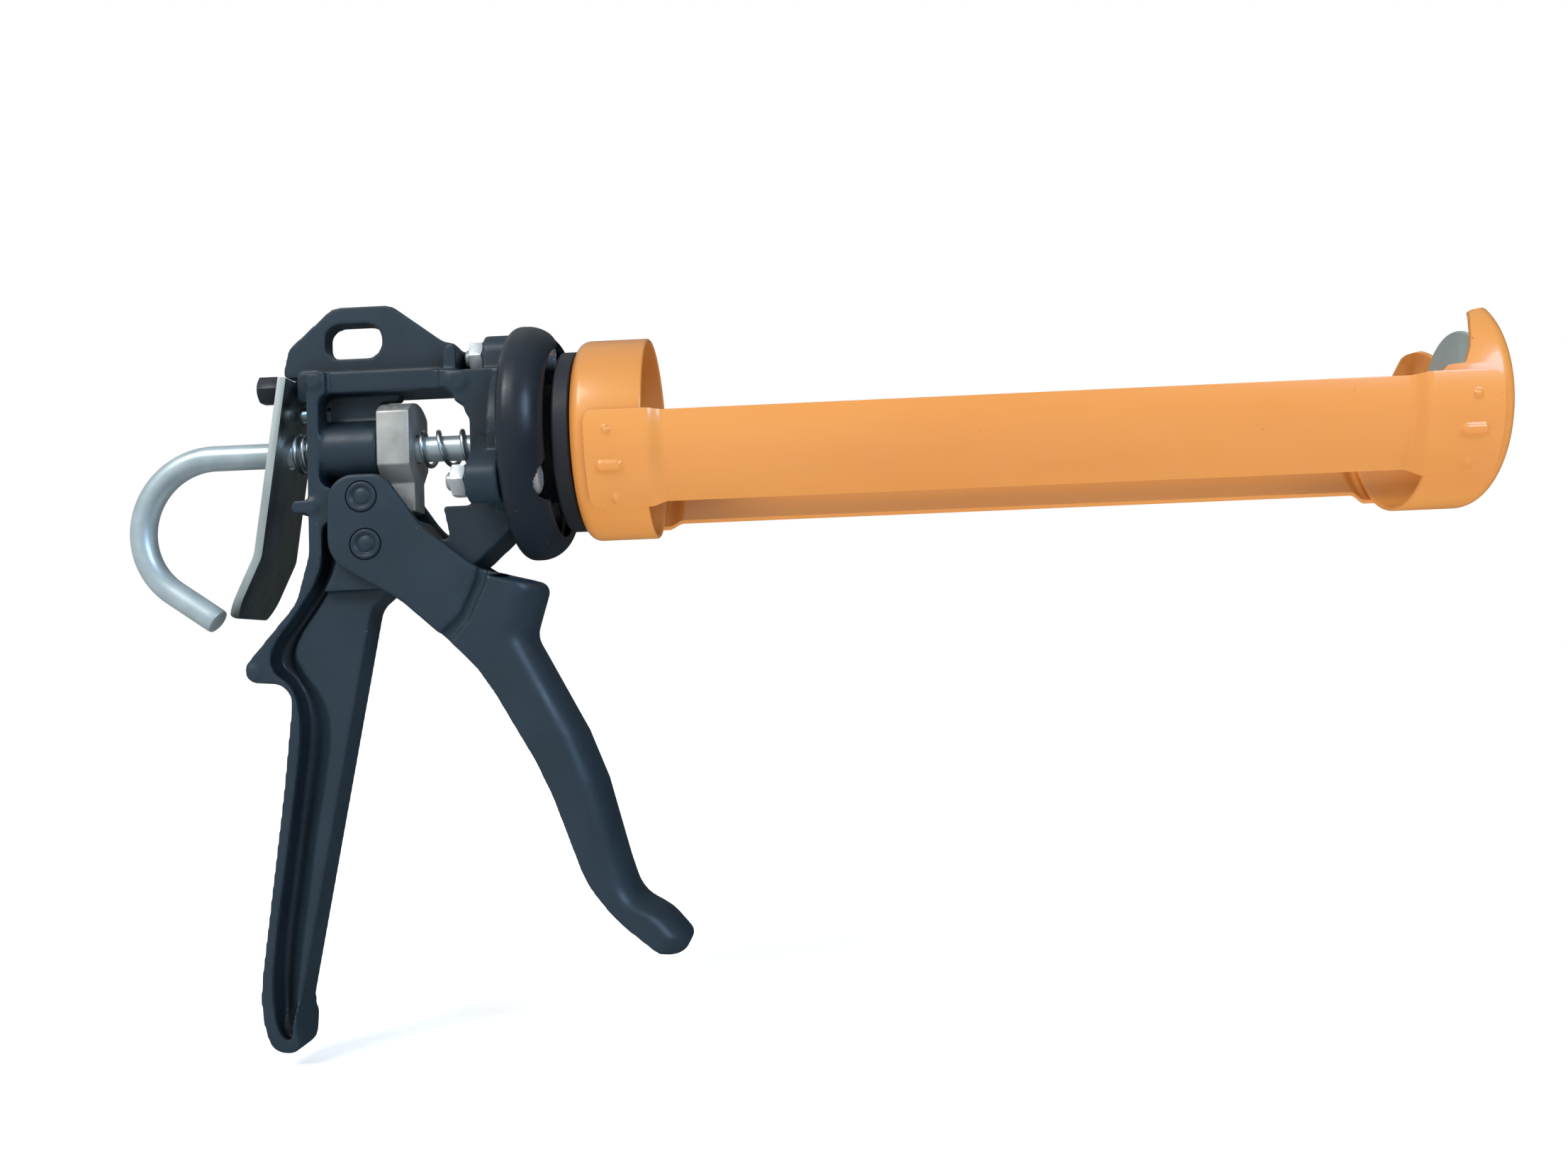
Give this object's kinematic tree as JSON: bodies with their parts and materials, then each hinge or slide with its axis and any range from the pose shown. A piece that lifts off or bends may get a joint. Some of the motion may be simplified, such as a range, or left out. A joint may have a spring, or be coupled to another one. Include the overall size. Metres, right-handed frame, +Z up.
{
  "type": "caulking gun",
  "caption": "Skeleton caulking gun: a cast frame with handle and trigger, a sprung push rod with a hooked end, and a revolving half-round cradle for a sealant cartridge.",
  "frame": {"origin": "middle of the hand grip, on the gun's plane of symmetry", "axes": "+X along the push rod towards the nozzle, +Y to the user's left, +Z up"},
  "size_m": [0.3672, 0.0636, 0.2014],
  "materials": {
    "black_coat": "satin black coating on cast aluminium",
    "collar_black": "satin black",
    "orange_enamel": "gloss enamel on pressed steel",
    "zinc_plate": "bright zinc plate",
    "dull_zinc": "dull zinc plate",
    "bare_steel": "bare sintered steel"
  },
  "bodies": {
    "frame": {"frame_casting": "black_coat", "swivel_housing": "black_coat", "housing_screw_top": "zinc_plate", "housing_screw_left": "zinc_plate", "housing_screw_right": "zinc_plate", "housing_nut_top": "zinc_plate", "housing_nut_left": "zinc_plate", "housing_nut_right": "zinc_plate", "lever_screw": "black_coat", "lever_stop_pin": "zinc_plate", "trigger_pivot_pin": "black_coat", "return_spring": "zinc_plate", "release_spring": "zinc_plate"},
    "carriage": {"swivel_collar": "collar_black", "collar_rivet_1": "zinc_plate", "collar_rivet_2": "zinc_plate", "collar_rivet_3": "zinc_plate", "rear_ring": "orange_enamel", "side_rail_right": "orange_enamel", "side_rail_left": "orange_enamel", "front_cup": "orange_enamel"},
    "rod": {"push_rod": "zinc_plate", "piston_disc": "dull_zinc", "piston_nut": "dull_zinc"},
    "drive": {"drive_block": "bare_steel"},
    "release": {"release_lever": "zinc_plate"},
    "trigger": {"trigger": "black_coat", "drive_pin": "black_coat"}
  },
  "joints": [
    {"name": "rod_slide", "type": "slide", "parent": "frame", "child": "rod", "axis": [1, 0, 0], "range_m": [-0.225, 0]},
    {"name": "carriage_spin", "type": "hinge", "parent": "frame", "child": "carriage", "pos_m": [0.0755, 0, 0.105], "axis": [1, 0, 0], "continuous": true},
    {"name": "trigger_pull", "type": "hinge", "parent": "frame", "child": "trigger", "pos_m": [0.0176, 0, 0.0784], "axis": [0, 1, 0], "range_deg": [0, 24], "stiffness_Nm_per_rad": 0.5, "springref_deg": -20.05},
    {"name": "drive_slide", "type": "slide", "parent": "frame", "child": "drive", "axis": [1, 0, 0], "range_m": [0, 0.0056], "deforming": ["return_spring"]},
    {"name": "release_press", "type": "hinge", "parent": "frame", "child": "release", "pos_m": [-0.0045, 0, 0.1155], "axis": [0, -1, 0], "range_deg": [0, 6.5], "stiffness_Nm_per_rad": 0.3, "springref_deg": -11.46, "deforming": ["release_spring"]}
  ],
  "couplings": [
    {"joint": "drive_slide", "follows": "trigger_pull", "m_per_rad": 0.0128}
  ]
}
